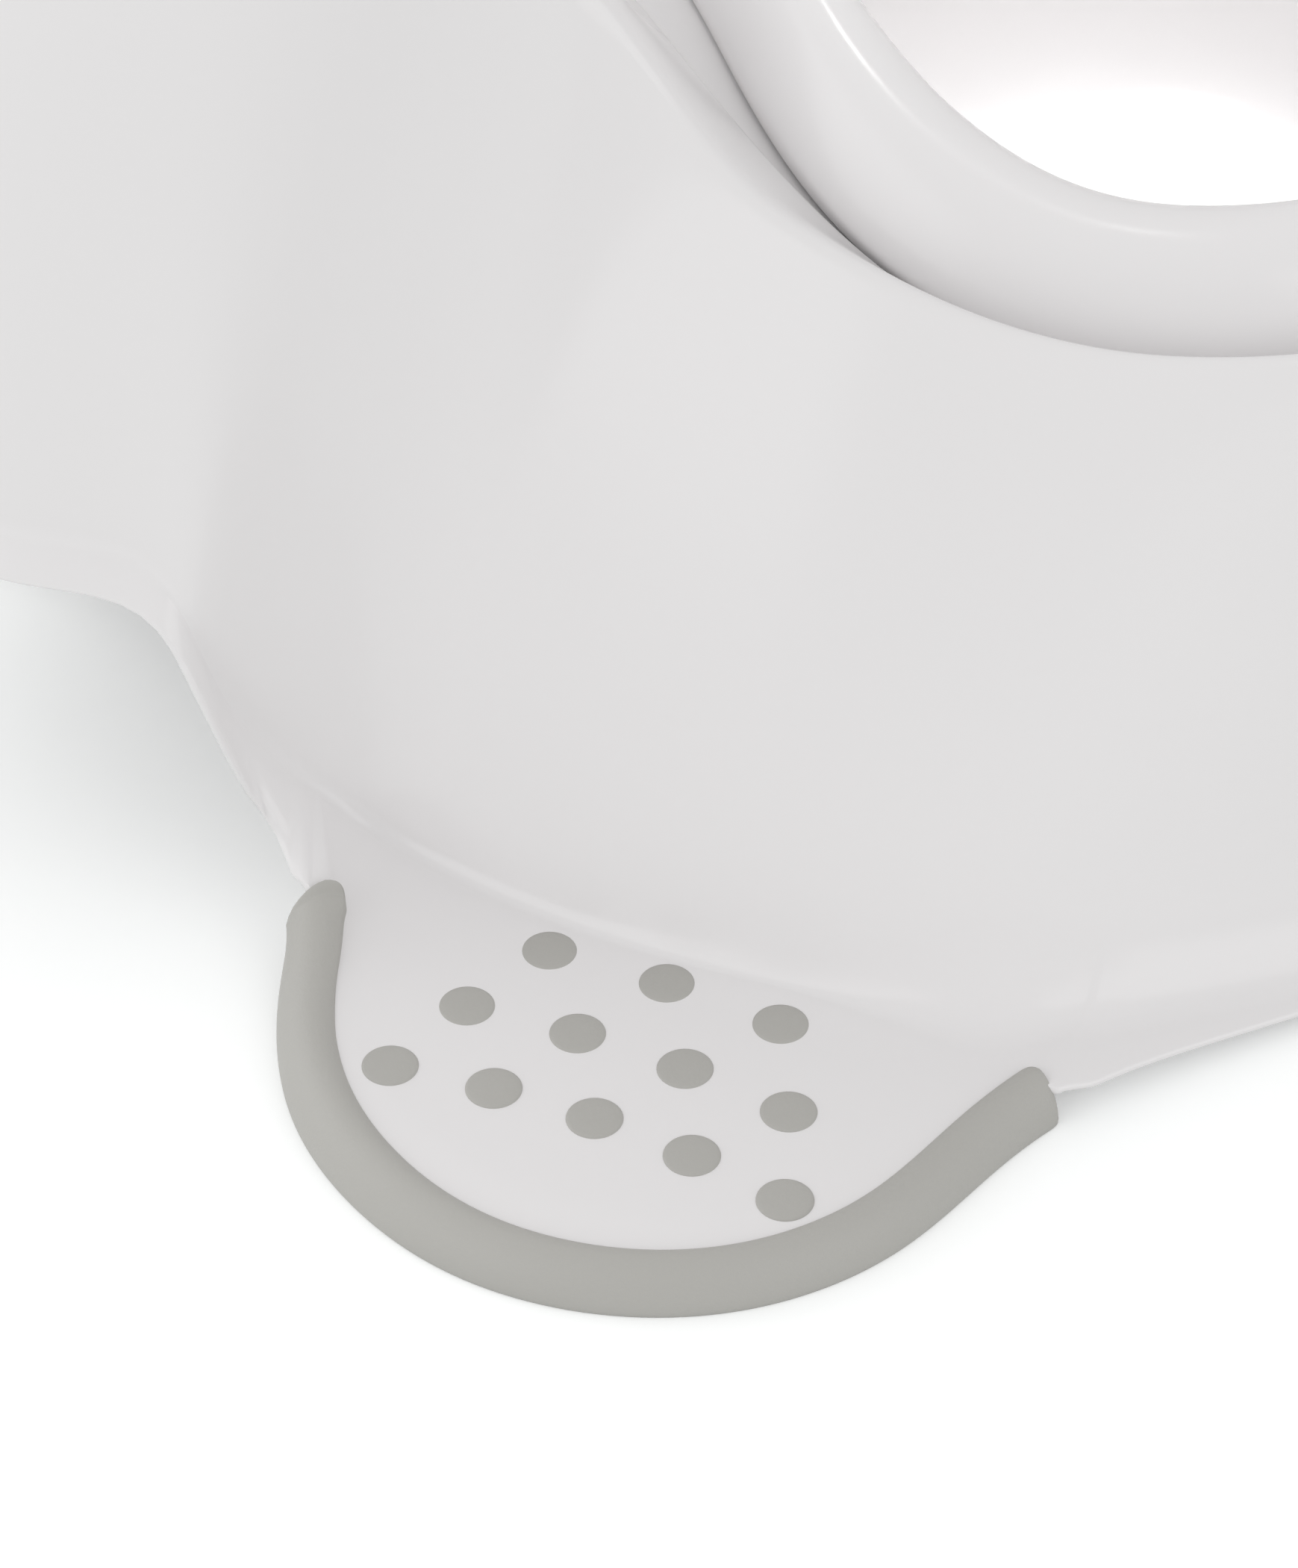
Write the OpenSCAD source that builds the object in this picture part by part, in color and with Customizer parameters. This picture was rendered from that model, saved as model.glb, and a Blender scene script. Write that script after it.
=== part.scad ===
// Child's training potty: a flared seat body on four soft-edged feet, with a lift-out pot.
// Millimetres. The front is -Y, up is +Z, the floor is z = 0 and the origin is under the middle.

/* [Feet] */
// Height of a foot plate's top above the floor
plate_top = 6; // [5.5:0.5:7]
// Wall thickness of the body
wall = 2.8; // [2.4:0.1:3]
// Width of the soft edging round a foot
band_w = 7.6; // [6.4:0.2:8.4]
// How far the edging stands above the plate
band_proud = 0.9; // [0.5:0.1:1.4]

/* [Studs] */
// Diameter of a stud where it shows on the plate
stud_d = 8; // [6:0.5:8]
// Diameter of a stud's pad under the plate
pad_d = 10.4; // [9.6:0.2:11]
// Studs in the outer row, with one less in each row further in
stud_cols = 5; // [4:1:5]
// Rows of studs on a foot
stud_rows = 3; // [1:1:3]
// Radius of the arc that the outer row follows
row_radius = 154; // [148:1:160]
// Angle between neighbours in a row
stud_pitch = 5.6; // [5.2:0.1:5.7]
// Distance from row to row
row_pitch = 14.2; // [13:0.1:15]

/* [Seat ring] */
// Half width of the ring where the pot sits
ring_half = 104.5; // [101:0.5:107]
// Reach of the ring ahead of its middle
ring_front = 89.5; // [86:0.5:93]
// Reach of the ring behind its middle
ring_rear = 110; // [106:1:113]
// Height of the ring at the sides
ring_z = 86; // [82:1:90]
// How much higher the ring is at the front
ring_lift = 27; // [18:1:30]
// Width of the ledge that carries the pot's rim
ledge = 14; // [13:1:16]

/* [Splash guard and backrest] */
// Reach of the splash guard's crown ahead of the ring
guard_reach = 92; // [86:1:96]
// Rise of the splash guard's crown above the ring
guard_rise = 66; // [50:1:74]
// How far the splash guard spreads into the sides, in guide points
guard_width = 8.8; // [8.2:0.1:9.4]
// Reach of the backrest's crown behind the ring
back_reach = 44; // [40:1:46]
// Rise of the backrest's crown above the ring
back_rise = 122; // [80:1:130]

/* [Pot] */
// Height of the rim's crest above the ring
rim_rise = 18; // [16:0.5:20]
// Depth of the finger recess ahead of the rim
finger_gap = 8.5; // [4:0.5:9]
// Height of the pot's underside above the floor
pot_floor = 9; // [6:1:14]

/* [Hidden] */
white = "#f3f2f0";
grey = "#a9a8a4";

// Middle of the base, and how much further out the rear feet stand than the front ones
base_y = 1.2;
rear_y = 18.5;
// Middle of the seat ring, and how square its outline is (2 is an ellipse)
ring_y = 10.8 + base_y;
ring_power = 2.4;
// Half the angle over which the ring rises at the front, and over which the finger recess runs
lift_angle = 60;
finger_angle = 38;

// Guide points of the front right quarter, from the splash guard round the foot to the middle of the
// side: x, y, and the height over the plate's top. The hem comes first, then the crease above it.
hem_front = [[0, -197.3, 55.8], [20.9, -187.6, 51.2], [29, -168.5, 49.8], [40.6, -165.6, 40.8],
    [38.8, -154.8, 7], [52, -156.2, 5.7], [58, -162.5, 0.5], [76, -172, 0], [96, -174, 0],
    [117, -169, 0], [134.5, -155, 0], [145, -135, 0], [145.5, -112, 0], [136.5, -92, 0],
    [132, -74, -0.4], [133.5, -50, -1.8], [135.5, -20, -3]];
crease_front = [[0, -194.2, 61.5], [18.8, -183.5, 57.2], [25.3, -167, 55.5], [34.4, -163.3, 50],
    [33.8, -158.7, 28], [37, -145, 9], [44, -137.5, 1.8], [56, -131, 0.6], [68, -124, 0.2],
    [81, -114.5, 0.2], [93, -104, 0.2], [104, -93, 0.2], [112.5, -82.5, 0.2], [117, -73, 0.4],
    [120, -60, 0.6], [122.5, -42, 0.8], [124, -18, 1]];
// The same under the backrest, from the rear foot to the middle. The rest of the rear mirrors the front.
hem_tail = [[39, 174, 17], [36.5, 180, 31], [34, 186, 39], [20, 190, 42.5], [0, 191, 43]];
crease_tail = [[34, 168, 21], [33, 175, 36], [31, 182.5, 46], [18, 187, 50], [0, 188, 51]];
foot_start = 5;
hem = around(hem_front, hem_tail);
crease = around(crease_front, crease_tail);
last = len(hem) - 1;

// The wall's crest: how far it stands outside the ring and above it, at the sides and at the front,
// half the angle from the one to the other, half its width, and how close to it the faces turn
crest_side = [6.7, 9.6];
crest_front = [17.2, 3.2];
crest_angle = 60;
crest_half = 1.5;
crest_turn = 0.62;
// Share of the wall's thickness that each point of a column keeps where the crest is sharp
crest_share = [1, 1, 1, 1, 1, 0.45, 0.25, 0.25, 0.4, 0.7, 0.9, 1, 1, 1, 1];
// How much the splash guard draws in towards its sides, how much further in the inner guide points lie
// on it and on the backrest, and how much lower its outer ones are
guard_lean = 2.3;
guard_depth = 34;
guard_slope = 20;
back_depth = 33;
back_spread = 1.3;
// The step that the pot's rim drops into, and the collar below its ledge
rebate = 2.2;
collar = 7.8;
draft = 0.6;

// Where the edging runs along a front foot, in guide points, and how soon its ends are at full width
band_from = 4.95;
band_to = 13.65;
band_round = 0.2;
// How far the bare hem is set in from the edging's outside
hem_set = 0.6;
// The room between the edging and the plate
edge_gap = 0.5;
// Middle of a front foot's outer row of studs, the way the rows step in, how much each row turns
// against the last, and the room in a stud's hole
row_mid = [105.7, -138.6];
row_angle = 125.3;
row_skew = 0.41;
hole_gap = 0.24;
stud_crown = 0.5;
pad_gap = 0.05;

// Curves

function around(front, tail) = concat(front,
    [for (i = [len(front) - 1 : -1 : foot_start]) [front[i].x, rear_y - front[i].y, front[i].z]], tail);
function mix(a, b, t) = a + (b - a) * t;
function mix_xy_z(a, b, xy, z) = [mix(a.x, b.x, xy), mix(a.y, b.y, xy), mix(a.z, b.z, z)];
function unit(v) = v / norm(v);
function bell(t) = 0.5 + 0.5 * cos(180 * min(1, abs(t)));
function bezier(a, b, c, d, t) =
    a * pow(1 - t, 3) + b * 3 * t * pow(1 - t, 2) + c * 3 * t * t * (1 - t) + d * pow(t, 3);

// A guide point by its number: past the ends, the left half mirrors the right
function guide(points, k) =
    let (past = k < 0 || k > last, p = points[k < 0 ? -k : k > last ? 2 * last - k : k])
    [past ? -p.x : p.x, p.y + base_y, p.z + plate_top];
// A smooth cubic curve along the guide points
function along(points, u) = let (k = floor(u), t = u - k)
    (guide(points, k - 1) * pow(1 - t, 3)
    + guide(points, k) * (3 * pow(t, 3) - 6 * t * t + 4)
    + guide(points, k + 1) * (-3 * pow(t, 3) + 3 * t * t + 3 * t + 1)
    + guide(points, k + 2) * pow(t, 3)) / 6;

// The seat ring's radius and height, by the angle from the front
function ring_r(phi) = pow(pow(abs(sin(phi)) / ring_half, ring_power)
    + pow(abs(cos(phi)) / (cos(phi) > 0 ? ring_front : ring_rear), ring_power), -1 / ring_power);
function ring_top(phi) = ring_z + ring_lift * bell(phi / lift_angle);
function polar(phi, r, z) = [r * sin(phi), ring_y - r * cos(phi), z];

// The way across the plate from the hem at u, the share of the edging's width that the plate gives up
// there, and the plate's edge
function inward(u) = let (across = along(crease, u) - along(hem, u),
        on = unit(along(hem, u + 0.01) - along(hem, u - 0.01)), square = across - (across * on) * on)
    unit([square.x, square.y, max(0, square.z)]);
function band_share(u) =
    let (m = min(u, last - u), t = min(1, max(0, min(m - band_from, band_to - m) / band_round)))
    sqrt(1 - pow(1 - t, 2));
function plate_edge(u) = along(hem, u) + mix(hem_set, band_w, band_share(u)) * inward(u);

// A column's angle from the front, and its shares of the splash guard and of the backrest
function angle_at(u) = let (foot = along(crease, u)) atan2(foot.x, ring_y - foot.y);
function guard_at(u) = bell(u / guard_width);
function back_at(u) = pow(max(0, -cos(angle_at(u))), back_spread);

// One column of the body's outside, from the hem up over the crown to the ring, its ledge and its collar
function column(u) = let (
        foot = along(crease, u), edge = plate_edge(u),
        phi = angle_at(u), r = ring_r(phi), z = ring_top(phi), top = polar(phi, r, z),
        guard = guard_at(u), ahead = pow(guard, guard_lean), back = back_at(u),
        crest = mix(crest_side, crest_front, bell(phi / crest_angle)),
        crown = z + crest[1] + guard_rise * guard + back_rise * back,
        outer = polar(phi, r + crest[0] + crest_half + guard_reach * ahead + back_reach * back,
            crown - crest_half / 2 - guard_slope * guard),
        inner = polar(phi, r + crest[0] - crest_half + (guard_reach - guard_depth) * ahead
            + (back_reach - back_depth) * back, crown + crest_half / 2),
        low = mix_xy_z(foot, outer, 0.42, 0.5), seat = mix_xy_z(top, inner, 0.36, 0.3),
        turn = mix(crest_turn, 0.5, min(1, guard + back)),
        rise = mix(low, outer, turn), fall = mix(seat, inner, turn),
        a = mix(outer, inner, 1 / 3), b = mix(outer, inner, 2 / 3))
    concat([edge, (edge + foot) / 2, foot],
        [for (t = [0.3, 0.65, 1]) bezier(foot, low, rise, (rise + a) / 2, t)],
        [for (t = [0.33, 0.67, 1]) bezier((rise + a) / 2, a, b, (b + fall) / 2, t)],
        [for (t = [0.35, 0.7, 1]) bezier((b + fall) / 2, fall, seat, top, t)],
        [polar(phi, r - draft, z - rebate), polar(phi, r - ledge, z - rebate),
            polar(phi, r - ledge - draft, z - rebate - collar)]);
// The same column set back by the wall's thickness, and straight down where it meets the edging
function lining(u) = let (c = column(u), a = column(u - 0.02), b = column(u + 0.02), n = len(c) - 1,
        blunt = min(1, pow(guard_at(u), guard_lean) + back_at(u)))
    [for (j = [0 : n]) c[j] - wall * mix(crest_share[j], 1, blunt) * (j == 0 && band_share(u) > 0 ? [0, 0, 1]
        : unit(cross(b[j] - a[j], c[min(j + 1, n)] - c[max(j - 1, 0)])))];

// Columns of the right half: closer where the edging ends
foot_steps = concat([for (d = [0, 0.05, 0.2, 0.4, 0.6, 0.85]) band_from + d], [for (u = [6 : 0.5 : 13]) u],
    [band_to - 0.2, band_to - 0.05, band_to]);
rear_steps = [for (i = [len(foot_steps) - 1 : -1 : 0]) last - foot_steps[i]];
half_steps = concat([for (u = [0 : 0.5 : 4.5]) u], foot_steps, [for (u = [14 : 19]) u],
    rear_steps, [for (u = [28.5 : 0.5 : last]) u]);

// Solids from points

// The whole ring of columns, from those of the right half
function full_ring(half) = let (n = len(half))
    concat(half, [for (i = [n - 2 : -1 : 1]) [for (p = half[i]) [-p.x, p.y, p.z]]]);
// Both triangles of a four-sided face
function quad(a, b, c, d) = [[a, b, c], [a, c, d]];
// A closed wall between two skins, each a ring of columns
module between(outer, inner) {
    n = len(outer);
    m = len(outer[0]);
    function o(i, j) = (i % n) * m + j;
    function q(i, j) = n * m + o(i, j);
    polyhedron([for (skin = [outer, inner]) for (c = skin) for (p = c) p],
        [for (i = [0 : n - 1]) each concat(
            [for (j = [0 : m - 2]) each quad(o(i, j), o(i, j + 1), o(i + 1, j + 1), o(i + 1, j))],
            [for (j = [0 : m - 2]) each quad(q(i, j), q(i + 1, j), q(i + 1, j + 1), q(i, j + 1))],
            quad(o(i, 0), o(i + 1, 0), q(i + 1, 0), q(i, 0)),
            quad(o(i, m - 1), q(i, m - 1), q(i + 1, m - 1), o(i + 1, m - 1)))]);
}
// A body built from rings of points, closed by one point below and one inside
module turned(rings, below, inside) {
    n = len(rings[0]);
    m = len(rings);
    function o(i, j) = j * n + i % n;
    polyhedron(concat([for (ring = rings) for (p = ring) p], [below, inside]),
        [for (i = [0 : n - 1]) each concat(
            [for (j = [0 : m - 2]) each quad(o(i, j), o(i, j + 1), o(i + 1, j + 1), o(i + 1, j))],
            [[o(i, 0), o(i + 1, 0), n * m], [o(i, m - 1), n * m + 1, o(i + 1, m - 1)]])]);
}
// A strip swept through sections that all have the same points
module swept(sections) {
    n = len(sections);
    m = len(sections[0]);
    function o(i, j) = i * m + j % m;
    polyhedron([for (s = sections) for (p = s) p],
        concat([for (i = [0 : n - 2]) for (j = [0 : m - 1]) each
                quad(o(i, j), o(i + 1, j), o(i + 1, j + 1), o(i, j + 1))],
            [[for (j = [0 : m - 1]) o(0, j)], [for (j = [m - 1 : -1 : 0]) o(n - 1, j)]]));
}

// Pieces

// Middles of the studs on a front right foot
stud_places = let (middle = row_mid - row_radius * [cos(row_angle), sin(row_angle)])
    [for (row = [0 : stud_rows - 1]) let (n = stud_cols - row) for (i = [0 : n - 1])
        let (a = row_angle + row_skew * row - (i - (n - 1) / 2) * stud_pitch)
        middle + (row_radius + row_pitch * row) * [cos(a), sin(a)]];
module at_studs(side, rear)
    for (p = stud_places) translate([side * p.x, base_y + (rear ? rear_y - p.y : p.y), 0]) children();

// Seat body: feet, wall, splash guard and backrest in one thin shell, with a hole for each stud
module body_shell() color(white) difference() {
    between(full_ring([for (u = half_steps) column(u)]), full_ring([for (u = half_steps) lining(u)]));
    for (side = [-1, 1], rear = [false, true]) at_studs(side, rear)
        hull() cylinder(h = 2 * plate_top, d = stud_d + 2 * hole_gap, $fn = 12);
}

// Pot: bowl and rolled seat rim in one wall, from the underside over the rim to the inside.
// Each ring has its inset from the seat ring, its height, 1 if that is counted from the seat ring,
// and its share of the finger recess.
pot_under = [[47, pot_floor, 0, 0], [41, pot_floor + 1.5, 0, 0], [35, pot_floor + 7, 0, 0],
    [27.4, 36, 0, 0], [26, 60, 0, 0], [25.2, -8, 1, 0]];
rim_under = [[24.8, rim_rise - 16, 1, 0], [22.5, rim_rise - 10, 1, 0], [18.8, rim_rise - 5.4, 1, 0.2],
    [14.5, rim_rise - 3.2, 1, 0.4], [10.5, rim_rise - 3.7, 1, 0.6], [7, rim_rise - 6.4, 1, 0.8],
    [5, rim_rise - 10.5, 1, 0.95], [4.4, 2, 1, 1], [4.2, -1.8, 1, 1]];
rim_over = [[1.4, -1.8, 1, 1], [1.2, 3, 1, 1], [2, rim_rise - 9, 1, 0.95], [4.6, rim_rise - 4, 1, 0.8],
    [9.5, rim_rise - 0.6, 1, 0.6], [15, rim_rise, 1, 0.4], [20.5, rim_rise - 2.4, 1, 0.2],
    [25, rim_rise - 8.3, 1, 0]];
pot_inside = [[27.5, rim_rise - 15.8, 1, 0], [27.9, -8, 1, 0], [28.7, 60, 0, 0], [30.1, 36, 0, 0],
    [37.6, pot_floor + 9.5, 0, 0], [42.6, pot_floor + 4, 0, 0], [48, pot_floor + 2.6, 0, 0]];
function pot_ring(inset, z, from_ring, recess) = [for (i = [0 : 71]) let (phi = 5 * i - (i > 36 ? 360 : 0))
    polar(phi, ring_r(phi) - inset - finger_gap * recess * bell(phi / finger_angle),
        z + from_ring * ring_top(phi))];
module pot() color(white)
    turned([for (q = concat(pot_under, rim_under, rim_over, pot_inside)) pot_ring(q[0], q[1], q[2], q[3])],
        [0, ring_y, pot_floor], [0, ring_y, pot_floor + 2.6]);

// Soft edging of a right foot. Each point of its section has its share of the way from the plate's
// edge to the hem, and its height.
edging_section = [[edge_gap / band_w, 0], [edge_gap / band_w, plate_top + 0.3], [0.2, plate_top + band_proud],
    [0.45, plate_top + 0.7 * band_proud], [0.72, 0.88 * plate_top], [0.95, 0.45 * plate_top],
    [1, 0.16 * plate_top], [0.93, 0]];
module edging(steps) color(grey)
    swept([for (i = [1 : len(steps) - 2]) let (b = plate_edge(steps[i]), e = along(hem, steps[i]))
        [for (p = edging_section) [mix(b.x, e.x, p.x), mix(b.y, e.y, p.x),
            p.y + max(0, mix(b.z, e.z, p.x) - plate_top)]]]);
module front_left_edging() mirror([1, 0, 0]) edging(foot_steps);
module front_right_edging() edging(foot_steps);
module rear_left_edging() mirror([1, 0, 0]) edging(rear_steps);
module rear_right_edging() edging(rear_steps);

// A stud: a pad under the plate, a shank through it and a low crown on top
module stud() {
    pad_top = plate_top - wall - pad_gap;
    rotate_extrude($fn = 32) polygon([[0, 0], [pad_d / 2 - 0.5, 0], [pad_d / 2, 0.6], [pad_d / 2, pad_top],
        [stud_d / 2, pad_top], [stud_d / 2, plate_top], [stud_d / 2 - 0.4, plate_top + 0.7 * stud_crown],
        [0, plate_top + stud_crown]]);
}
module front_left_studs() color(grey) at_studs(-1, false) stud();
module front_right_studs() color(grey) at_studs(1, false) stud();
module rear_left_studs() color(grey) at_studs(-1, true) stud();
module rear_right_studs() color(grey) at_studs(1, true) stud();

body_shell();
pot();
front_left_edging();
front_right_edging();
rear_left_edging();
rear_right_edging();
front_left_studs();
front_right_studs();
rear_left_studs();
rear_right_studs();
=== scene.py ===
# %% [markdown]
# # A child's training potty
# The object is a glossy white moulding that stands on four flared feet. Each foot has a soft grey
# edging and a field of soft grey studs, and a pot with a rolled rim lies in the seat ring.
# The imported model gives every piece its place, so this lesson builds the smooth surfaces over it.

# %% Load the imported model
import math

import bmesh
import bpy
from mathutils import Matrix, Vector


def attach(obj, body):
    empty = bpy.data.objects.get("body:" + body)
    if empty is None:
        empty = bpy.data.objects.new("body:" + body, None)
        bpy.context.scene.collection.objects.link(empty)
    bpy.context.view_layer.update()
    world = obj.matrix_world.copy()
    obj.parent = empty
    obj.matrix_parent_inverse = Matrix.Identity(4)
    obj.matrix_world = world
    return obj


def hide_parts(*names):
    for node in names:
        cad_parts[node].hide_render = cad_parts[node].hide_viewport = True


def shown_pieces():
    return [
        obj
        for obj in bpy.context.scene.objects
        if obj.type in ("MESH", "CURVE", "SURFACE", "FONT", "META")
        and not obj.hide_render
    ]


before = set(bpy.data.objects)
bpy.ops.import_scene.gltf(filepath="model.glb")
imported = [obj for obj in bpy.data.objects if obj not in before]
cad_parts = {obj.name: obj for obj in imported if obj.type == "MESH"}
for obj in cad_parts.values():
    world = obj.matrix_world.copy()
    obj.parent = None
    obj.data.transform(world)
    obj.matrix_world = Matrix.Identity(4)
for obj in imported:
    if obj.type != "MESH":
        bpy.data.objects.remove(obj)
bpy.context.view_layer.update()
MM = 0.001
print("nodes", sorted(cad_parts))

# %% [markdown]
# ## The camera
# The photograph looks down on one front foot from the side, from about 0.8 m away and through a long
# lens, so parallel edges stay almost parallel. The focal length is written in the photograph's own
# pixels and turned into millimetres on a sensor as long as the picture is high.

# %% Place the camera
IMAGE_HEIGHT = 2100
FOCAL_PIXELS = 7550
SENSOR = 36.0
AZIMUTH = math.radians(60.9)
ELEVATION = math.radians(41.4)
DISTANCE = 0.83
LOOK_AT = Vector((0.0430, -0.0940, 0.0))

toward_camera = Vector((math.sin(AZIMUTH) * math.cos(ELEVATION),
                        -math.cos(AZIMUTH) * math.cos(ELEVATION), math.sin(ELEVATION)))
camera = bpy.data.objects.new("camera", bpy.data.cameras.new("camera"))
camera.data.sensor_width = SENSOR
camera.data.lens = FOCAL_PIXELS / IMAGE_HEIGHT * SENSOR
camera.location = LOOK_AT + toward_camera * DISTANCE
camera.rotation_euler = toward_camera.to_track_quat("Z", "Y").to_euler()
bpy.context.scene.collection.objects.link(camera)
bpy.context.scene.camera = camera
print("lens", round(camera.data.lens, 1), "mm")

# %% [markdown]
# ## Guide curves
# The body has no flat side and no circle, so it can't be cut from simple shapes. A mould maker would
# draw a few guide curves and stretch a skin between them, and this cell does the same. The hem is the
# lower edge of the moulding and the crease is the line where the wall leaves the foot. Each is a smooth
# curve near listed points, in millimetres, for the right half: from the splash guard in front,
# round a front foot, along the side, round a rear foot to the back. The left half mirrors it.

# %% Guide curves of the body
PLATE_TOP = 6.0
BASE_Y = 1.2
REAR_Y = 18.5
FOOT_START = 5
HEM_FRONT = [(0, -197.3, 55.8), (20.9, -187.6, 51.2), (29, -168.5, 49.8), (40.6, -165.6, 40.8),
             (38.8, -154.8, 7), (52, -156.2, 5.7), (58, -162.5, 0.5), (76, -172, 0), (96, -174, 0),
             (117, -169, 0), (134.5, -155, 0), (145, -135, 0), (145.5, -112, 0), (136.5, -92, 0),
             (132, -74, -0.4), (133.5, -50, -1.8), (135.5, -20, -3)]
HEM_TAIL = [(39, 174, 17), (36.5, 180, 31), (34, 186, 39), (20, 190, 42.5), (0, 191, 43)]
CREASE_FRONT = [(0, -194.2, 61.5), (18.8, -183.5, 57.2), (25.3, -167, 55.5), (34.4, -163.3, 50),
                (33.8, -158.7, 28), (37, -145, 9), (44, -137.5, 1.8), (56, -131, 0.6),
                (68, -124, 0.2), (81, -114.5, 0.2), (93, -104, 0.2), (104, -93, 0.2),
                (112.5, -82.5, 0.2), (117, -73, 0.4), (120, -60, 0.6), (122.5, -42, 0.8), (124, -18, 1)]
CREASE_TAIL = [(34, 168, 21), (33, 175, 36), (31, 182.5, 46), (18, 187, 50), (0, 188, 51)]


def around(front, tail):
    """The front quarter's points, its feet again for the rear, and the tail."""
    rear = [(x, REAR_Y - y, z) for x, y, z in reversed(front[FOOT_START:])]
    return front + rear + tail


HEM = around(HEM_FRONT, HEM_TAIL)
CREASE = around(CREASE_FRONT, CREASE_TAIL)
LAST = len(HEM) - 1


def guide(points, k):
    """Guide point k, mirrored to the left half past either end."""
    x, y, z = points[abs(k) if k <= LAST else 2 * LAST - k]
    return Vector((x if 0 <= k <= LAST else -x, y + BASE_Y, z + PLATE_TOP))


def along(points, u):
    """A point of the smooth cubic curve that runs near the guide points."""
    k = math.floor(u)
    t = u - k
    shares = ((1 - t) ** 3, 3 * t ** 3 - 6 * t * t + 4, -3 * t ** 3 + 3 * t * t + 3 * t + 1, t ** 3)
    return sum((guide(points, k - 1 + i) * share for i, share in enumerate(shares)), Vector()) / 6


print("guide curves of", LAST, "spans")

# %% [markdown]
# ## The seat ring
# The pot hangs in a ring that is a little squarer than a circle and rises towards the front. Both the
# body and the pot use this outline, so they fit each other all the way round. Angles start at the
# front and grow towards the right.

# %% Outline of the seat ring
RING_HALF, RING_FRONT, RING_REAR = 104.5, 89.5, 110.0
RING_POWER = 2.4
RING_Y = 10.8 + BASE_Y
RING_Z = 86.0
RING_LIFT = 27.0
LIFT_ANGLE = math.radians(60)


def bell(t):
    """A smooth hump: 1 at 0, falling to 0 at 1 and beyond."""
    return 0.5 + 0.5 * math.cos(math.pi * min(1, abs(t)))


def ring_radius(phi):
    """The ring's radius at an angle from the front."""
    length = RING_FRONT if math.cos(phi) > 0 else RING_REAR
    side_share = (abs(math.sin(phi)) / RING_HALF) ** RING_POWER
    length_share = (abs(math.cos(phi)) / length) ** RING_POWER
    return (side_share + length_share) ** (-1 / RING_POWER)


def ring_lift(phi):
    """How much higher the ring is at an angle than at the sides."""
    return RING_LIFT * bell(phi / LIFT_ANGLE)


def polar(phi, radius, z):
    return Vector((radius * math.sin(phi), RING_Y - radius * math.cos(phi), z))


print("ring", 2 * RING_HALF, "by", RING_FRONT + RING_REAR, "mm")

# %% [markdown]
# ## Blends
# Everything below is made of points part of the way between other points. A mix goes straight from one
# value to another. A ramp starts and stops softly, so that it leaves no kink in a surface.

# %% Blends


def mix(a, b, t):
    return a + (b - a) * t


def ramp(u, low, high):
    """A smooth rise from 0 at low to 1 at high."""
    t = min(1, max(0, (u - low) / (high - low)))
    return t * t * (3 - 2 * t)


print("a quarter of the way up a ramp", ramp(0.25, 0, 1))

# %% [markdown]
# ## The plate's edge
# The soft edging is moulded on round each white foot plate. There the plate gives up most of the
# edging's width, so its edge is hidden. Beside the edging's ends it draws in a little, and elsewhere it
# lies close to the hem. Places along the guide curves count in spans from the front, or from the back
# where that is nearer, so one pair of ends serves both feet.

# %% Edge of the plate
BAND_FROM, BAND_TO = 4.95, 13.65
HEM_SET, END_SET, BAND_SEAT = 1.0, 2.8, 5.7
END_RAMP, SEAT_FROM, SEAT_RAMP = 0.3, -0.02, 0.1
HEM_STEP = 0.01


def nearest_end(u):
    """How far u is from the front or from the back, so that both halves of the side match."""
    return min(u, LAST - u)


def seat_share(u):
    """How far the plate's edge has drawn back inside the edging, which hides both ends of the step."""
    m = nearest_end(u)
    return ramp(min(m - BAND_FROM, BAND_TO - m), SEAT_FROM, SEAT_FROM + SEAT_RAMP)


def inward(u):
    """The way across the plate, square to the hem."""
    across = along(CREASE, u) - along(HEM, u)
    on = (along(HEM, u + HEM_STEP) - along(HEM, u - HEM_STEP)).normalized()
    square = across - on * across.dot(on)
    return Vector((square.x, square.y, max(0, square.z))).normalized()


def plate_edge(u):
    """The plate's edge: near the hem, a little further in beside the edging's ends, and then under it."""
    m = nearest_end(u)
    bare = mix(HEM_SET, END_SET, ramp(min(m - BAND_FROM, BAND_TO - m), -END_RAMP, 0))
    return along(HEM, u) + inward(u) * mix(bare, BAND_SEAT, seat_share(u))


print("the edge in front is", round(plate_edge(0).z, 1), "mm above the floor")

# %% [markdown]
# ## Splash guard and backrest
# The wall rises in front into a splash guard and behind into a backrest. Every column of the wall takes
# a share of each, and the shares fade out smoothly towards the sides.

# %% Shares of the splash guard and the backrest
GUARD_WIDTH, GUARD_LEAN, BACK_SPREAD = 8.8, 2.3, 1.3


def column_angle(u):
    """The angle from the front at which column u meets the seat ring."""
    foot = along(CREASE, u)
    return math.atan2(foot.x, RING_Y - foot.y)


def guard_and_back(u):
    """The column's shares of the splash guard's rise, of its reach, and of the backrest."""
    guard = bell(u / GUARD_WIDTH)
    return guard, guard ** GUARD_LEAN, max(0, -math.cos(column_angle(u))) ** BACK_SPREAD


print("shares in front", guard_and_back(0), "and behind", guard_and_back(LAST))

# %% [markdown]
# ## Arcs and corners
# The outline of a wall is a chain of smooth arcs, each pulled towards one or two points that it doesn't
# touch. A moulding has no sharp corners either, so a corner is replaced by a small arc.

# %% Arcs and corners


def curve3(a, b, c, t):
    """A simple arc from a to c that leans towards b."""
    return mix(mix(a, b, t), mix(b, c, t), t)


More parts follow.
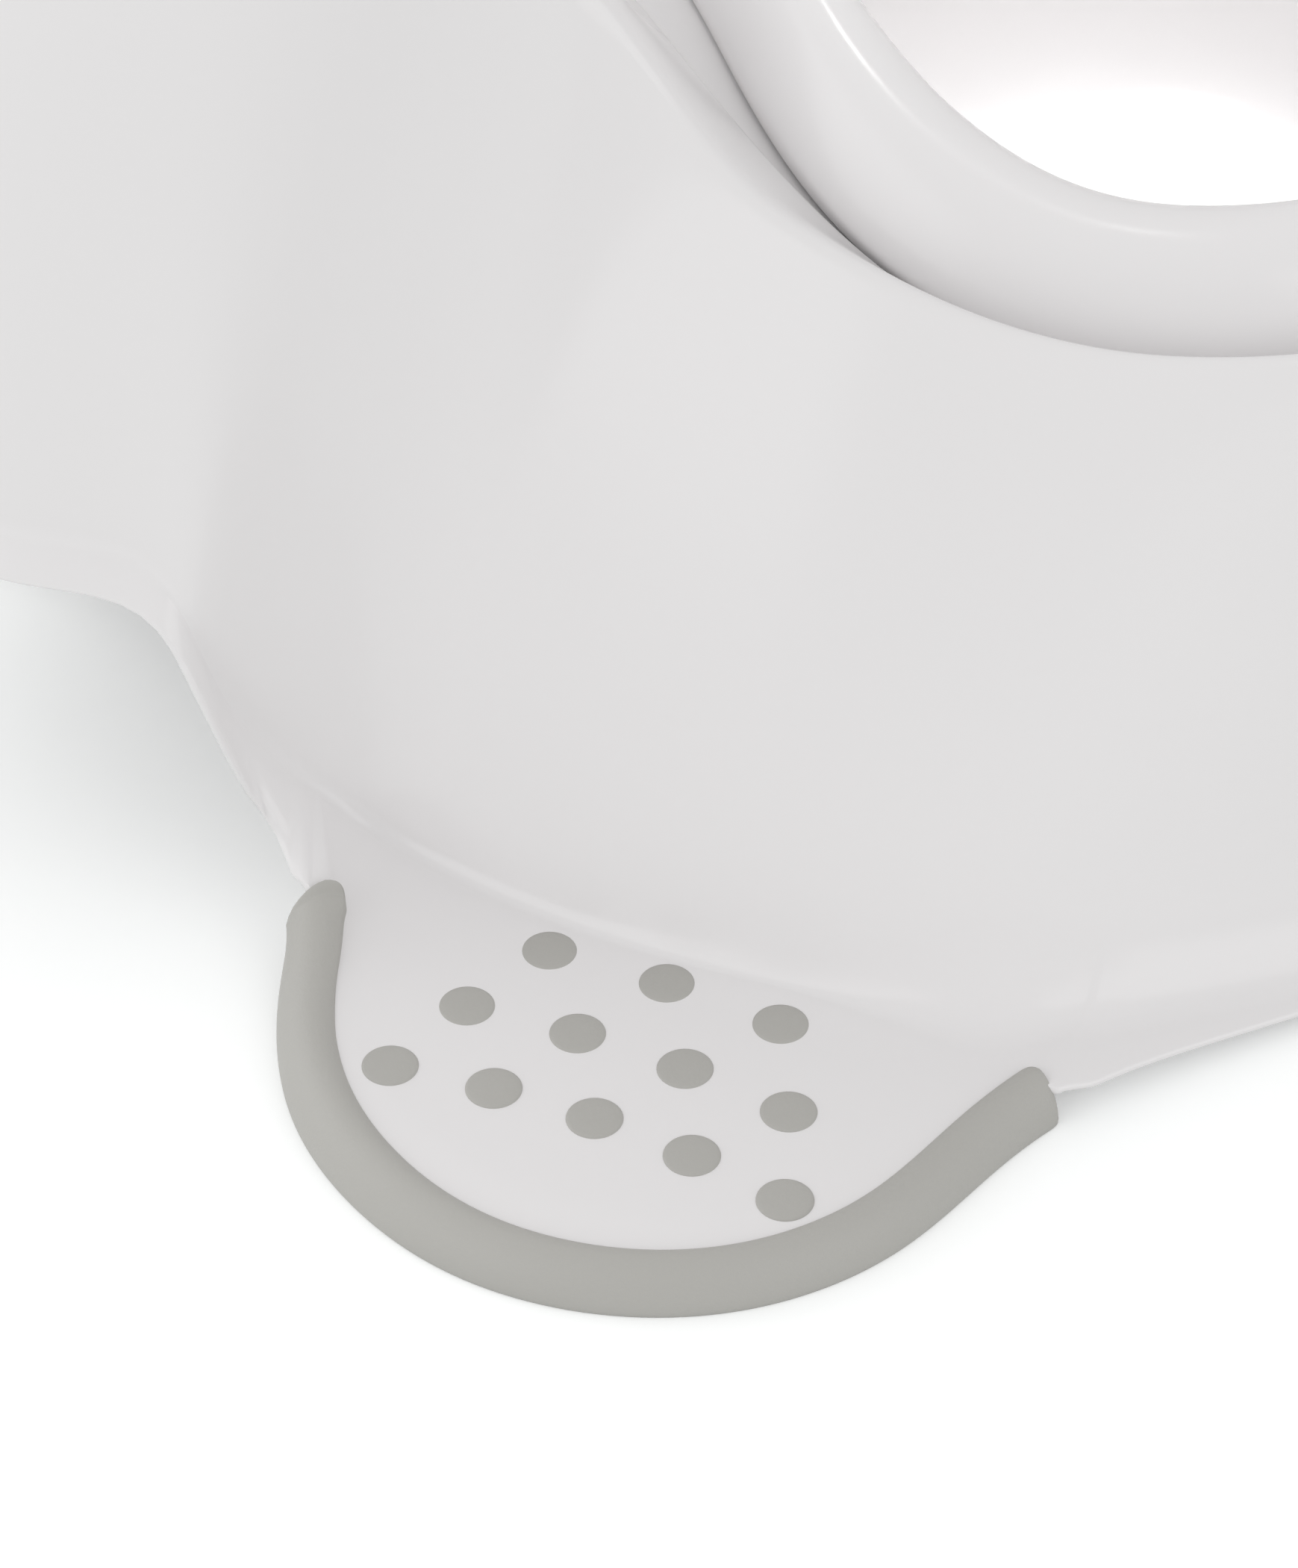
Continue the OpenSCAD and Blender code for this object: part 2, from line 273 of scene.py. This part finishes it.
def curve4(a, b, c, d, t):
    """A cubic arc from a to d."""
    s = 1 - t
    return a * s ** 3 + b * (3 * t * s * s) + c * (3 * t * t * s) + d * t ** 3


def part_way(a, b, across, up):
    """Part of the way from a to b, with a share of its own for the height."""
    return Vector((mix(a.x, b.x, across), mix(a.y, b.y, across), mix(a.z, b.z, up)))


def rounded(before, corner, after, size):
    """Four points that replace a sharp corner."""
    start, end = [corner + (p - corner).normalized() * size for p in (before, after)]
    return [curve3(start, corner, end, i / 3) for i in range(4)]


print("half way along a cubic arc", curve4(0, 1, 1, 0, 0.5))

# %% [markdown]
# ## One column of the wall
# The skin of the body is a fan of columns. Each crosses the foot, turns up through a fillet, runs over a
# rounded crown and falls to the ring, where a small step and a ledge take the pot's rim. The fillet is
# tight at the neck of the foot and grows wide along the side, where the foot melts into the wall.

# %% Columns of the body's skin
CREST_SIDE, CREST_FRONT, CREST_ANGLE = Vector((6.7, 9.6)), Vector((17.2, 3.2)), math.radians(60)
CREST_HALF, CREST_TURN, BLUNT_TURN = 1.5, 0.62, 0.5
GUARD_REACH, GUARD_RISE, GUARD_DEPTH, GUARD_SLOPE = 92, 66, 34, 20
BACK_REACH, BACK_RISE, BACK_DEPTH = 44, 120.2, 33
OUTER_LEAN, INNER_LEAN = (0.42, 0.5), (0.36, 0.3)

# The fillet's arms at the neck and at the side, the spans between, and the most of plate or wall it takes
PLATE_ARMS, PLATE_SPANS, PLATE_SHARE = (1.8, 10), (10, 13), 0.8
WALL_ARMS, WALL_SPANS, WALL_SHARE = (2.5, 22), (8, 13), 0.5

LEDGE, REBATE, COLLAR, DRAFT = 14, 2.2, 7.8, 0.6
TOP_ROUND, STEP_ROUND, LIP_ROUND = 0.4, 0.6, 0.8
PLATE_ROWS, FILLET_ROWS, WALL_ROWS, CROWN_ROWS, SEAT_ROWS = 6, 8, 16, 10, 18


def column(u):
    """The outside of the body at u, from the plate's edge to the collar."""
    foot, edge, phi = along(CREASE, u), plate_edge(u), column_angle(u)
    r, z = ring_radius(phi), RING_Z + ring_lift(phi)
    guard, ahead, back = guard_and_back(u)
    crest = mix(CREST_SIDE, CREST_FRONT, bell(phi / CREST_ANGLE))
    top, crown = polar(phi, r, z), z + crest.y + GUARD_RISE * guard + BACK_RISE * back
    outer = polar(phi, r + crest.x + CREST_HALF + GUARD_REACH * ahead + BACK_REACH * back,
                  crown - CREST_HALF / 2 - GUARD_SLOPE * guard)
    inner = polar(phi, r + crest.x - CREST_HALF + (GUARD_REACH - GUARD_DEPTH) * ahead
                  + (BACK_REACH - BACK_DEPTH) * back, crown + CREST_HALF / 2)
    low, seat = part_way(foot, outer, *OUTER_LEAN), part_way(top, inner, *INNER_LEAN)
    turn = mix(CREST_TURN, BLUNT_TURN, min(1, guard + back))
    rise, fall = mix(low, outer, turn), mix(seat, inner, turn)
    a, b = mix(outer, inner, 1 / 3), mix(outer, inner, 2 / 3)
    below_crown, past_crown = (rise + a) / 2, (b + fall) / 2

    m = nearest_end(u)
    plate = foot - edge
    plate_arm = min(mix(*PLATE_ARMS, ramp(m, *PLATE_SPANS)), PLATE_SHARE * plate.length)
    first = min(WALL_SHARE, mix(*WALL_ARMS, ramp(m, *WALL_SPANS)) / (3 * (low - foot).length))
    fillet_from = foot - plate.normalized() * plate_arm
    fillet_to = curve4(foot, low, rise, below_crown, first)

    rows = [mix(edge, fillet_from, i / PLATE_ROWS) for i in range(PLATE_ROWS)]
    rows += [curve3(fillet_from, foot, fillet_to, i / FILLET_ROWS) for i in range(FILLET_ROWS)]
    rows += [curve4(foot, low, rise, below_crown, mix(first, 1, i / WALL_ROWS)) for i in range(WALL_ROWS)]
    rows += [curve4(below_crown, a, b, past_crown, i / CROWN_ROWS) for i in range(CROWN_ROWS)]
    rows += [curve4(past_crown, fall, seat, top, i / SEAT_ROWS) for i in range(SEAT_ROWS)]
    step, lip = polar(phi, r - DRAFT, z - REBATE), polar(phi, r - LEDGE, z - REBATE)
    end = polar(phi, r - LEDGE - DRAFT, z - REBATE - COLLAR)
    rows += rounded(rows[-1], top, step, TOP_ROUND) + rounded(top, step, lip, STEP_ROUND)
    return rows + [mix(step, lip, 0.5)] + rounded(step, lip, end, LIP_ROUND) + [end]


print("points in a column", len(column(0)))

# %% [markdown]
# ## The wall's section
# A wall has an inside too. The lining follows a column a wall's thickness away, along the surface's own
# direction, and with fewer points because it is plain. A rounded nose joins the two at the hem, so each
# section is a closed loop.

# %% Sections of the wall
WALL, HEM_WALL, CREST_SHARE = 2.8, 1.2, 0.25
NOSE_ROWS, NOSE_BARE, NOSE_SEATED = 7, 0.6, 0.2
SKIN_STEP = 0.02
LINING_STRIDE = 4
CREST_ROW = PLATE_ROWS + FILLET_ROWS + WALL_ROWS + CROWN_ROWS / 2


def lining_rows(u, skin):
    """Some rows of the skin, set back by the wall's thickness, or less under a sharp crest."""
    before, after = column(u - SKIN_STEP), column(u + SKIN_STEP)
    rows, count = [], len(skin)
    blunt = min(1, sum(guard_and_back(u)[1:]))
    for j in sorted({*range(0, count, LINING_STRIDE), count - 1}):
        up = skin[min(j + 1, count - 1)] - skin[max(j - 1, 0)]
        out = (after[j] - before[j]).cross(up).normalized()
        away = min(1, abs(j - CREST_ROW) / SEAT_ROWS)
        thick = WALL * mix(mix(CREST_SHARE, 1, away), 1, blunt)
        if j == 0:
            thick = mix(HEM_WALL, WALL, seat_share(u))
        rows.append(skin[j] - (Vector((0, 0, 1)) if j == 0 and seat_share(u) > 0 else out) * thick)
    return rows


def wall_section(u):
    """The closed section of the wall at u: nose, outside, and back down the inside."""
    skin = column(u)
    inside = lining_rows(u, skin)
    middle, half = (skin[0] + inside[0]) / 2, (skin[0] - inside[0]) / 2
    reach = inward(u) * -mix(NOSE_BARE, NOSE_SEATED, seat_share(u))
    turns = [math.pi * (i + 0.5) / NOSE_ROWS for i in range(NOSE_ROWS)]
    nose = [middle - half * math.cos(t) + reach * math.sin(t) for t in turns]
    return nose + skin + inside[::-1]


print("points in a section", len(wall_section(0)))

# %% [markdown]
# ## Lofting rings
# Every swept piece here is a stack of rings with the same number of points. The loft starts from a
# circle, and each pass extrudes the open edge loop and lays the new loop on the next ring, as one would
# pull a loop up by hand in edit mode.

# %% A loft from rings


def finish_mesh(name, bm):
    """Turns a bmesh into a smooth-shaded object in the scene."""
    mesh = bpy.data.meshes.new(name)
    bm.to_mesh(mesh)
    bm.free()
    mesh.shade_smooth()
    piece = bpy.data.objects.new(name, mesh)
    bpy.context.scene.collection.objects.link(piece)
    print(name, len(mesh.polygons), "faces")
    return piece


def lay(loop, ring):
    for vertex, point in zip(loop, ring):
        vertex.co = point * MM


def loft(name, rings, ends):
    """A mesh object through rings of points in millimetres. Its ends are capped or joined."""
    bm = bmesh.new()
    loop = bmesh.ops.create_circle(bm, segments=len(rings[0]), radius=1.0)["verts"]
    edges = first_edges = list(bm.edges)
    lay(loop, rings[0])
    for ring in rings[1:]:
        grown = bmesh.ops.extrude_edge_only(bm, edges=edges)["geom"]
        fresh = {part for part in grown if isinstance(part, bmesh.types.BMVert)}
        edges = [part for part in grown if isinstance(part, bmesh.types.BMEdge)
                 and part.verts[0] in fresh and part.verts[1] in fresh]
        loop = [next(e.other_vert(v) for e in v.link_edges if e.other_vert(v) in fresh) for v in loop]
        lay(loop, ring)
    if ends == "joined":
        bmesh.ops.bridge_loops(bm, edges=first_edges + edges)
    else:
        bmesh.ops.contextual_create(bm, geom=first_edges)
        bmesh.ops.contextual_create(bm, geom=edges)
    bmesh.ops.recalc_face_normals(bm, faces=bm.faces)
    return finish_mesh(name, bm)


print("the loft can cap its ends or join them")

# %% [markdown]
# ## The body shell
# The real shell is one moulding about 3 mm thick, open below. Its wall sections stand side by side all
# the way round, so each row of points makes a ring. The loft runs through the rings over the outside and
# back down the inside, and a bridge joins the last ring to the first. Sections stand closer together
# where the edging ends and the plate's edge turns quickly.

# %% Build the body shell
STEPS_PER_SPAN = 5
END_STEPS = (0, 0.2, 0.4, 0.6, 0.8, 1)

half_steps = {round(i / STEPS_PER_SPAN, 4) for i in range(LAST * STEPS_PER_SPAN + 1)}
seat_steps = [SEAT_FROM + SEAT_RAMP * s for s in END_STEPS] + [-END_RAMP * s for s in END_STEPS]
band_ends = [BAND_FROM + s for s in seat_steps] + [BAND_TO - s for s in seat_steps]
half_steps.update(round(u, 4) for u in band_ends)
half_steps.update(round(LAST - u, 4) for u in band_ends)

right_sections = [wall_section(u) for u in sorted(half_steps)]
left_sections = [[Vector((-p.x, p.y, p.z)) for p in c] for c in reversed(right_sections[1:-1])]
body_rings = [list(ring) for ring in zip(*right_sections, *left_sections)]
body_shell = loft("potty_body", body_rings, "joined")

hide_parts("body_shell")
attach(body_shell, "body")

# %% [markdown]
# ## The pot's profile
# The pot is a bowl whose wall rolls over into a broad rim to sit on. One line gives its section, from
# the middle of the underside, over the rim, to the middle of the floor inside. Each point has its
# distance inside the ring's edge and its height, and the heights of the rim count from the ring.

# %% Profile of the pot
POT_FLOOR = 9.0
POT_WALL = 2.6
BOWL_HEIGHT = 60.0
BOWL_TOP = RING_Z - 8
RIM_RISE = 18.0
CENTRE = (RING_HALF, 78)
UNDERSIDE = [(inset, POT_FLOOR) for inset in CENTRE] + [(47, POT_FLOOR), (41, POT_FLOOR + 1.5),
             (35, POT_FLOOR + 7), (27.4, 36), (26, BOWL_HEIGHT), (25.2, BOWL_TOP)]
UNDER_RIM = [(24.8, 2), (22.5, 8), (18.8, 12.6), (15.4, 14), (12, 12.8), (8.6, 9.4), (5.8, 5), (4.6, 1),
             (4.2, -1.5), (4.1, -1.8)]
OVER_RIM = [(1.0, -1.8), (0.8, -1.4), (0.3, 0.5), (0.6, 1.8), (3.2, 6.4), (6.6, 11.6), (10.6, 15.8),
            (15.4, RIM_RISE), (20.6, 15.6), (25, 9.7)]
INSIDE = [(27.5, RING_Z + 2.2), (27.9, BOWL_TOP), (28.7, BOWL_HEIGHT), (30.1, 36),
          (37.6, POT_FLOOR + 9.5), (42.6, POT_FLOOR + 4), (48, POT_FLOOR + POT_WALL)]
INSIDE += [(inset, POT_FLOOR + POT_WALL) for inset in CENTRE[::-1]]

rim = [(inset, RING_Z + rise) for inset, rise in UNDER_RIM + OVER_RIM]
pot_profile = [(RING_HALF - inset, z) for inset, z in UNDERSIDE + rim + INSIDE]
print("points in the pot's profile", len(pot_profile))

# %% [markdown]
# ## The pot
# A spun profile gives a bowl with a round plan. Each point then moves out to the seat ring's outline,
# lifts with the ring at the front, and draws back a little there, which leaves room for fingertips. A
# Subdivision Surface smooths it.

# %% Build the pot
RIM_WIDTH = 25.0
FINGER_GAP = 8.5
FINGER_ANGLE = math.radians(38)
POT_STEPS = 72


def shape_pot_point(point):
    """Moves a point of the round bowl to its place in the seat ring."""
    inset = RING_HALF - math.hypot(point.x, point.y)
    phi = math.atan2(point.x, -point.y)
    recess = FINGER_GAP * max(0, 1 - inset / RIM_WIDTH) * bell(phi / FINGER_ANGLE)
    central = inset > CENTRE[1] - 1
    radius = (RING_HALF - inset) * ring_radius(phi) / RING_HALF if central else ring_radius(phi) - inset
    in_rim = ramp(point.z, BOWL_HEIGHT, BOWL_TOP)
    return polar(phi, radius - recess * in_rim, point.z + ring_lift(phi) * in_rim)


def spun(bm, profile, steps):
    """A full turn of a profile of (radius, height) points about the Z axis."""
    points = [bm.verts.new((r, 0, z)) for r, z in profile]
    edges = [bm.edges.new(pair) for pair in zip(points, points[1:])]
    bmesh.ops.spin(bm, geom=points + edges, cent=(0, 0, 0), axis=(0, 0, 1), angle=2 * math.pi,
                   steps=steps, use_merge=True)
    bmesh.ops.remove_doubles(bm, verts=bm.verts, dist=1e-5)
    bmesh.ops.recalc_face_normals(bm, faces=bm.faces)


bowl = bmesh.new()
spun(bowl, pot_profile, POT_STEPS)
for vertex in bowl.verts:
    vertex.co = shape_pot_point(vertex.co) * MM
pot = finish_mesh("lift_out_pot", bowl)
smooth = pot.modifiers.new("smooth", "SUBSURF")
smooth.levels = smooth.render_levels = 2

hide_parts("pot")
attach(pot, "pot")

# %% [markdown]
# ## The edging's section
# A strip of soft elastomer is moulded round each foot so that it grips the floor. Its top is gently
# crowned, its outside rolls down to the floor, and it stands a little proud of the plate. It is a little
# wider at the neck than at the side, as in the photograph, and it draws in at both ends to round them.
# The rear edgings are a hair narrower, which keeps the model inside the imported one's length.

# %% Section of the edging
BAND_WIDTH = 7.6
BAND_END, END_WIDTH, END_HEIGHT = 0.08, 0.8, 0.97
NECK_SHIFT, SIDE_SHIFT, SHIFT_SPANS, REAR_DRAW = (0.6, 1.2), (0, -1.1), (5, 12), 0.65

# Points of the section: how far towards the hem and how high, as shares of its width and height
BAND_SECTION = [(-0.06, 0.0), (-0.06, 0.5), (-0.04, 0.99), (0.0, 1.045), (0.08, 1.1), (0.2, 1.15),
                (0.35, 1.13), (0.5, 1.06), (0.65, 0.94), (0.78, 0.79), (0.89, 0.6), (0.96, 0.4),
                (1.0, 0.2), (0.99, 0.06), (0.96, 0.0), (0.4, 0.0)]


def band_section(u):
    """The section's points at u, drawn in near the edging's ends."""
    m = nearest_end(u)
    t = min(1, max(0, min(m - BAND_FROM, BAND_TO - m) / BAND_END))
    swell = math.sqrt(1 - (1 - t) ** 2)
    hem, lift, way = along(HEM, u), max(0, along(HEM, u).z - PLATE_TOP), inward(u)
    inner_shift, outer_shift = [mix(a, b, ramp(m, *SHIFT_SPANS)) for a, b in zip(NECK_SHIFT, SIDE_SHIFT)]
    inside = hem + way * (BAND_WIDTH - inner_shift)
    hem = hem - way * (outer_shift - (REAR_DRAW if u > LAST / 2 else 0))
    middle = mix(inside, hem, 0.5)
    points = []
    for across, high in BAND_SECTION:
        point = mix(middle, mix(inside, hem, across), mix(END_WIDTH, 1, swell))
        height = high * PLATE_TOP * mix(END_HEIGHT, 1, swell) + (point.z - hem.z)
        points.append(Vector((point.x, point.y, lift + max(0, height))))
    return points


print("points in a section of edging", len(band_section(BAND_FROM)))

# %% [markdown]
# ## The edgings
# The section is swept along the same guide curves as the plate's edge, so the two fit. Its copies stand
# closer together near the ends, where they shrink quickly. The left edgings mirror the right ones.

# %% Build the edgings
BAND_STEPS = 150


def band_path(rear):
    """Places along a foot's edging, closer together at its ends."""
    share = [0.5 - 0.5 * math.cos(math.pi * i / BAND_STEPS) for i in range(BAND_STEPS + 1)]
    return [LAST - mix(BAND_FROM, BAND_TO, s) if rear else mix(BAND_FROM, BAND_TO, s) for s in share]


for end in ("front", "rear"):
    sections = [band_section(u) for u in band_path(end == "rear")]
    for side, sign in (("left", -1), ("right", 1)):
        rings = [[Vector((sign * p.x, p.y, p.z)) for p in ring] for ring in sections]
        edging = loft(f"{end}_{side}_soft_edging", rings, "capped")
        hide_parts(f"{end}_{side}_edging")
        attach(edging, "body")

# %% [markdown]
# ## Places of the studs
# The studs of a foot stand in rows of five, four and three. The rows lie on arcs about one centre, a
# little askew, as in the photograph, so their places come from a few angles and radii.

# %% Places of the studs
ROW_MIDDLE = Vector((105.7, -138.6, 0))
ROW_ANGLE = math.radians(125.3)
ROW_SKEW = math.radians(0.41)
ROW_RADIUS, ROW_PITCH, STUD_PITCH = 154, 14.2, math.radians(5.6)
STUD_COLUMNS, STUD_ROWS = 5, 3


def row_point(angle, row):
    along_row = Vector((math.cos(angle), math.sin(angle), 0))
    centre = ROW_MIDDLE - Vector((math.cos(ROW_ANGLE), math.sin(ROW_ANGLE), 0)) * ROW_RADIUS
    return centre + along_row * (ROW_RADIUS + ROW_PITCH * row)


stud_places = []
for row in range(STUD_ROWS):
    count = STUD_COLUMNS - row
    for i in range(count):
        turn = ROW_SKEW * row - (i - (count - 1) / 2) * STUD_PITCH
        stud_places.append(row_point(ROW_ANGLE + turn, row))
print("studs on a foot", len(stud_places))

# %% [markdown]
# ## The studs
# The elastomer of the edging is also moulded through holes in the foot plate. Each stud shows as a low
# dome on top and grips the floor with a wider pad below. One profile is spun for each place, and the
# twelve studs of a foot make one piece.

# %% Build the studs
STUD_STEPS = 40
STUD_PROFILE = [(0, 0), (4.6, 0), (5.0, 0.2), (5.2, 0.6), (5.2, 3.15), (4, 3.15), (4, 5.95), (3.95, 6.15),
                (3.8, 6.28), (3.5, 6.36), (2.4, 6.44), (1.2, 6.48), (0, 6.5)]

for end in ("front", "rear"):
    for side, sign in (("left", -1), ("right", 1)):
        field = bmesh.new()
        for place in stud_places:
            y = REAR_Y - place.y if end == "rear" else place.y
            one = bmesh.new()
            spun(one, STUD_PROFILE, STUD_STEPS)
            bmesh.ops.translate(one, verts=one.verts, vec=(sign * place.x, y + BASE_Y, 0))
            single = bpy.data.meshes.new("stud")
            one.to_mesh(single)
            one.free()
            field.from_mesh(single)
            bpy.data.meshes.remove(single)
        bmesh.ops.scale(field, verts=field.verts, vec=(MM, MM, MM))
        studs = finish_mesh(f"{end}_{side}_grip_studs", field)
        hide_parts(f"{end}_{side}_studs")
        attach(studs, "body")

# %% [markdown]
# ## A shared moulded finish
# Both plastics come out of a mould, so both have a faint drift of colour, a slight change of gloss and a
# very fine unevenness. One node group holds that effect, and each material gives it its own amounts.

# %% Sockets of the moulded finish
moulded_finish = bpy.data.node_groups.new("moulded_finish", "ShaderNodeTree")


def socket(name, kind, in_out, value=None):
    made = moulded_finish.interface.new_socket(name=name, in_out=in_out, socket_type=kind)
    if value is not None:
        made.default_value = value


socket("Colour", "NodeSocketColor", "INPUT", (0.8, 0.8, 0.8, 1))
socket("Colour drift", "NodeSocketFloat", "INPUT", 0.02)
socket("Roughness", "NodeSocketFloat", "INPUT", 0.3)
socket("Gloss drift", "NodeSocketFloat", "INPUT", 0.05)
socket("Grain per metre", "NodeSocketFloat", "INPUT", 400.0)
socket("Grain strength", "NodeSocketFloat", "INPUT", 0.1)
socket("Colour", "NodeSocketColor", "OUTPUT")
socket("Roughness", "NodeSocketFloat", "OUTPUT")
socket("Normal", "NodeSocketVector", "OUTPUT")
print("sockets", len(moulded_finish.interface.items_tree))

# %% [markdown]
# ## Drift of colour and gloss
# A slow noise on the piece's own coordinates runs from 0 to 1. Centred on zero, it tints the colour and
# shifts the roughness, so both stay the same on average.

# %% Nodes of the drift
DRIFT_PER_METRE = 14

nodes, links = moulded_finish.nodes, moulded_finish.links
given, made = nodes.new("NodeGroupInput"), nodes.new("NodeGroupOutput")
place = nodes.new("ShaderNodeTexCoord")

drift = nodes.new("ShaderNodeTexNoise")
drift.inputs["Scale"].default_value = DRIFT_PER_METRE
drift.inputs["Detail"].default_value = 3
links.new(place.outputs["Object"], drift.inputs["Vector"])
centred = nodes.new("ShaderNodeMath")
centred.operation = "SUBTRACT"
centred.inputs[1].default_value = 0.5
links.new(drift.outputs["Fac"], centred.inputs[0])

tint = nodes.new("ShaderNodeMath")
tint.operation = "MULTIPLY_ADD"
tint.inputs[2].default_value = 1
links.new(centred.outputs[0], tint.inputs[0])
links.new(given.outputs["Colour drift"], tint.inputs[1])
shade = nodes.new("ShaderNodeVectorMath")
shade.operation = "SCALE"
links.new(given.outputs["Colour"], shade.inputs[0])
links.new(tint.outputs[0], shade.inputs["Scale"])
links.new(shade.outputs[0], made.inputs["Colour"])

gloss = nodes.new("ShaderNodeMath")
gloss.operation = "MULTIPLY_ADD"
links.new(centred.outputs[0], gloss.inputs[0])
links.new(given.outputs["Gloss drift"], gloss.inputs[1])
links.new(given.outputs["Roughness"], gloss.inputs[2])
links.new(gloss.outputs[0], made.inputs["Roughness"])
print("nodes", len(nodes))

# %% [markdown]
# ## Grain
# A finer noise drives a Bump node, so the surface catches the light a little unevenly. The polished
# white gets hardly any of it, and the soft grey gets a fine grain.

# %% Nodes of the grain
GRAIN_DEPTH = 0.0005

grain = nodes.new("ShaderNodeTexNoise")
grain.inputs["Detail"].default_value = 2
links.new(place.outputs["Object"], grain.inputs["Vector"])
links.new(given.outputs["Grain per metre"], grain.inputs["Scale"])
bump = nodes.new("ShaderNodeBump")
bump.inputs["Distance"].default_value = GRAIN_DEPTH
links.new(given.outputs["Grain strength"], bump.inputs["Strength"])
links.new(grain.outputs["Fac"], bump.inputs["Height"])
links.new(bump.outputs["Normal"], made.inputs["Normal"])
print("nodes", len(nodes))

# %% [markdown]
# ## White gloss and grey grip
# The shell and the pot are polished white plastic, a touch warm, with a soft gloss. The edging and the
# studs are a warm grey elastomer with a satin surface and a fine grain.

# %% Make the two materials


def moulded_material(name, colour, roughness, amounts):
    material = bpy.data.materials.new(name)
    material.use_nodes = True
    nodes, links = material.node_tree.nodes, material.node_tree.links
    shader = nodes["Principled BSDF"]
    finish = nodes.new("ShaderNodeGroup")
    finish.node_tree = moulded_finish
    finish.inputs["Colour"].default_value = (*colour, 1)
    finish.inputs["Roughness"].default_value = roughness
    for socket_name, value in amounts.items():
        finish.inputs[socket_name].default_value = value
    links.new(finish.outputs["Colour"], shader.inputs["Base Color"])
    links.new(finish.outputs["Roughness"], shader.inputs["Roughness"])
    links.new(finish.outputs["Normal"], shader.inputs["Normal"])
    return material, shader


white_gloss, white_shader = moulded_material(
    "white_gloss_plastic", (0.80, 0.786, 0.788), 0.2,
    {"Colour drift": 0.015, "Gloss drift": 0.05, "Grain per metre": 90, "Grain strength": 0.02})
white_shader.inputs["IOR"].default_value = 1.49

grey_grip, grey_shader = moulded_material(
    "grey_soft_elastomer", (0.44, 0.432, 0.407), 0.5,
    {"Colour drift": 0.06, "Gloss drift": 0.12, "Grain per metre": 2600, "Grain strength": 0.12})
grey_shader.inputs["IOR"].default_value = 1.45

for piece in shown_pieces():
    piece.data.materials.clear()
    is_grey = "edging" in piece.name or "studs" in piece.name
    piece.data.materials.append(grey_grip if is_grey else white_gloss)

# %% [markdown]
# ## The floor
# The photograph is a high-key studio picture: white all round, with only thin shadows where the feet
# touch the floor. The floor is matt white and adds a little white of its own for the camera and for
# reflections, so that only real shadows show on it.

# %% Lay the floor
FLOOR_SIZE = 8.0
FLOOR_COLOUR = (0.845, 0.858, 0.854)
FLOOR_GLOW = 0.28

scene = bpy.context.scene
scene.view_settings.view_transform = "Standard"

floor_bm = bmesh.new()
bmesh.ops.create_grid(floor_bm, x_segments=1, y_segments=1, size=FLOOR_SIZE / 2)
floor = finish_mesh("floor", floor_bm)

floor_paint = bpy.data.materials.new("white_floor")
floor_paint.use_nodes = True
nodes, links = floor_paint.node_tree.nodes, floor_paint.node_tree.links
nodes.clear()
surface = nodes.new("ShaderNodeOutputMaterial")
matte = nodes.new("ShaderNodeBsdfDiffuse")
matte.inputs["Color"].default_value = (*FLOOR_COLOUR, 1)
glow = nodes.new("ShaderNodeEmission")
rays = nodes.new("ShaderNodeLightPath")
seen = nodes.new("ShaderNodeMath")
seen.operation = "MAXIMUM"
links.new(rays.outputs["Is Camera Ray"], seen.inputs[0])
links.new(rays.outputs["Is Glossy Ray"], seen.inputs[1])
level = nodes.new("ShaderNodeMath")
level.operation = "MULTIPLY"
level.inputs[1].default_value = FLOOR_GLOW
links.new(seen.outputs[0], level.inputs[0])
links.new(level.outputs[0], glow.inputs["Strength"])
both = nodes.new("ShaderNodeAddShader")
links.new(matte.outputs[0], both.inputs[0])
links.new(glow.outputs[0], both.inputs[1])
links.new(both.outputs[0], surface.inputs["Surface"])
floor.data.materials.append(floor_paint)

# %% [markdown]
# ## Light and background
# A white world gives most of the light, and three large softboxes shape it. The rim would leave the
# bowl grey, so a soft spot from above reaches down into it.

# %% Light the studio
WORLD_STRENGTH = 0.74
SOFTBOX_SIZE, SOFTBOX_DISTANCE = 1.2, 1.6
BOWL_FLOOR = Vector((-0.026, 0.031, 0.015))
SPOT_CONE, SPOT_RADIUS, SPOT_POWER, SPOT_DISTANCE = math.radians(9.5), 0.06, 47, 1.0

world = bpy.data.worlds.new("studio")
scene.world = world
world.use_nodes = True
sky = world.node_tree.nodes["Background"]
sky.inputs["Color"].default_value = (1, 1, 1, 1)
sky.inputs["Strength"].default_value = WORLD_STRENGTH


def place_light(name, lamp, aim, direction, distance):
    """Hangs a lamp so that it faces a point from a direction."""
    hung = bpy.data.objects.new(name, lamp)
    way = Vector(direction).normalized()
    hung.location = aim + way * distance
    hung.rotation_euler = way.to_track_quat("Z", "Y").to_euler()
    scene.collection.objects.link(hung)


def softbox(name, direction, power):
    """A large square area light that faces the foot."""
    lamp = bpy.data.lights.new(name, "AREA")
    lamp.size = SOFTBOX_SIZE
    lamp.energy = power
    place_light(name, lamp, LOOK_AT, direction, SOFTBOX_DISTANCE)


softbox("left_softbox", (-0.8, -0.5, 0.4), 6.8)
softbox("front_softbox", (0.15, -0.95, 0.45), 4.2)
softbox("right_softbox", (0.85, 0.4, 0.5), 4.0)

bowl_spot = bpy.data.lights.new("bowl_spot", "SPOT")
bowl_spot.spot_size = SPOT_CONE
bowl_spot.spot_blend = 1.0
bowl_spot.shadow_soft_size = SPOT_RADIUS
bowl_spot.energy = SPOT_POWER
place_light("bowl_spot", bowl_spot, BOWL_FLOOR, (0.12, -0.07, 1), SPOT_DISTANCE)
